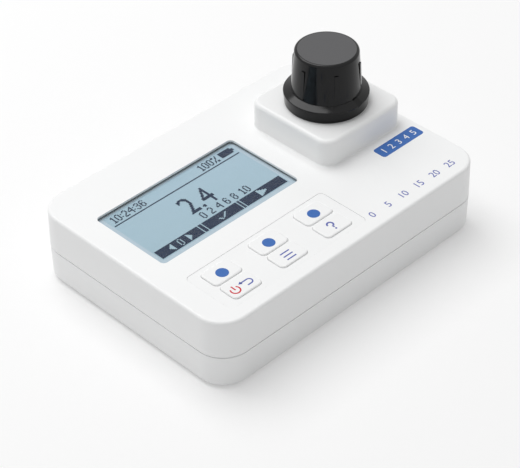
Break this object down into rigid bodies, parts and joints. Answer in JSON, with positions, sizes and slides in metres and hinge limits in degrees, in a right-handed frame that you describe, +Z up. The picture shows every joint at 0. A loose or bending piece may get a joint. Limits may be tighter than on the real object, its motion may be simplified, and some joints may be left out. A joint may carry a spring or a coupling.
{
  "type": "benchtop photometer",
  "caption": "Flat bench photometer with a graphic display, six keys and a raised block whose well holds a capped round glass cuvette.",
  "frame": {"origin": "centre of the footprint, at the height of the surface that the feet stand on", "axes": "+X along the long side to the user's right, +Y from the keys towards the rear, +Z up"},
  "size_m": [0.1424, 0.1024, 0.0674],
  "materials": {
    "white_shell": "fine satin white moulded plastic",
    "white_keypad": "satin white silicone with printed signs",
    "black_cap_plastic": "glossy black moulded plastic, satin on top",
    "clear_window": "clear polished acrylic",
    "lcd_panel": "pale blue-grey display with dark blue dots",
    "light_guide": "milky acrylic",
    "white_inner_plastic": "plain white moulding",
    "black_inner_plastic": "plain black moulding",
    "black_optical_plastic": "dull black moulding that soaks up stray light",
    "dark_rubber": "dull dark grey seal",
    "grey_rubber": "dull grey rubber",
    "screw_steel": "zinc plated steel",
    "spring_steel": "nickel plated strip",
    "detector_metal": "plated can",
    "circuit_board": "green solder mask",
    "lamp_resin": "clear cast resin",
    "optical_glass": "polished optical glass",
    "filter_glass": "coated filter glass",
    "cuvette_glass": "clear polished glass",
    "stopper_plastic": "milky soft plastic",
    "cell_jacket": "plain dark jacket with bright ends"
  },
  "bodies": {
    "housing": {"upper_case": "white_shell", "lower_case": "white_shell", "case_seal": "dark_rubber", "case_screws": "screw_steel", "rubber_feet": "grey_rubber", "display_lens": "clear_window", "lens_seal": "dark_rubber", "lcd_glass": "lcd_panel", "lcd_backlight": "light_guide", "lcd_frame": "white_inner_plastic", "keypad_mat": "white_keypad", "key_switches": "black_inner_plastic", "main_board": "circuit_board", "board_screws": "screw_steel", "microcontroller": "black_inner_plastic", "board_parts": "white_inner_plastic", "buzzer": "black_inner_plastic", "cuvette_holder": "black_optical_plastic", "holder_seal": "dark_rubber", "holder_screws": "screw_steel", "led_lamp": "lamp_resin", "led_bush": "black_inner_plastic", "led_board": "circuit_board", "focusing_lens": "optical_glass", "beam_splitter": "optical_glass", "reference_detector": "detector_metal", "interference_filter": "filter_glass", "photodetector": "detector_metal", "detector_board": "circuit_board", "battery_cradle": "black_inner_plastic", "battery_1": "cell_jacket", "battery_2": "cell_jacket", "battery_3": "cell_jacket", "battery_contacts": "spring_steel"},
    "key_function_left": {"key_function_left": "white_keypad"},
    "key_function_middle": {"key_function_middle": "white_keypad"},
    "key_function_right": {"key_function_right": "white_keypad"},
    "key_power": {"key_power": "white_keypad"},
    "key_menu": {"key_menu": "white_keypad"},
    "key_help": {"key_help": "white_keypad"},
    "cuvette": {"cuvette_glass": "cuvette_glass"},
    "stopper": {"cuvette_stopper": "stopper_plastic"},
    "cap_seal": {"cap_seal": "grey_rubber"},
    "cap": {"cuvette_cap": "black_cap_plastic"},
    "battery_cover": {"battery_cover": "white_shell", "battery_cover_seal": "dark_rubber"}
  },
  "joints": [
    {"name": "key_function_left_press", "type": "slide", "parent": "housing", "child": "key_function_left", "axis": [0, 0, -1], "range_m": [0, 0.0006], "stiffness_N_per_m": 400, "springref_m": -0.0002},
    {"name": "key_function_middle_press", "type": "slide", "parent": "housing", "child": "key_function_middle", "axis": [0, 0, -1], "range_m": [0, 0.0006], "stiffness_N_per_m": 400, "springref_m": -0.0002},
    {"name": "key_function_right_press", "type": "slide", "parent": "housing", "child": "key_function_right", "axis": [0, 0, -1], "range_m": [0, 0.0006], "stiffness_N_per_m": 400, "springref_m": -0.0002},
    {"name": "key_power_press", "type": "slide", "parent": "housing", "child": "key_power", "axis": [0, 0, -1], "range_m": [0, 0.0006], "stiffness_N_per_m": 400, "springref_m": -0.0002},
    {"name": "key_menu_press", "type": "slide", "parent": "housing", "child": "key_menu", "axis": [0, 0, -1], "range_m": [0, 0.0006], "stiffness_N_per_m": 400, "springref_m": -0.0002},
    {"name": "key_help_press", "type": "slide", "parent": "housing", "child": "key_help", "axis": [0, 0, -1], "range_m": [0, 0.0006], "stiffness_N_per_m": 400, "springref_m": -0.0002},
    {"name": "cuvette_lift", "type": "slide", "parent": "housing", "child": "cuvette", "axis": [0, 0, 1], "range_m": [0, 0.045]},
    {"name": "stopper_pull", "type": "slide", "parent": "cuvette", "child": "stopper", "axis": [0, 0, 1], "range_m": [0, 0.028]},
    {"name": "cap_rise", "type": "slide", "parent": "stopper", "child": "cap_seal", "axis": [0, 0, 1], "range_m": [0, 0.0045]},
    {"name": "cap_turn", "type": "hinge", "parent": "cap_seal", "child": "cap", "pos_m": [0.0449, 0.00885, 0.0434], "axis": [0, 0, 1], "range_deg": [0, 540]},
    {"name": "battery_cover_turn", "type": "hinge", "parent": "housing", "child": "battery_cover", "pos_m": [-0.025, 0, 0.001], "axis": [0, 0, -1], "range_deg": [0, 45]}
  ],
  "couplings": [
    {"joint": "cap_rise", "follows": "cap_turn", "m_per_rad": 0.00047746}
  ]
}
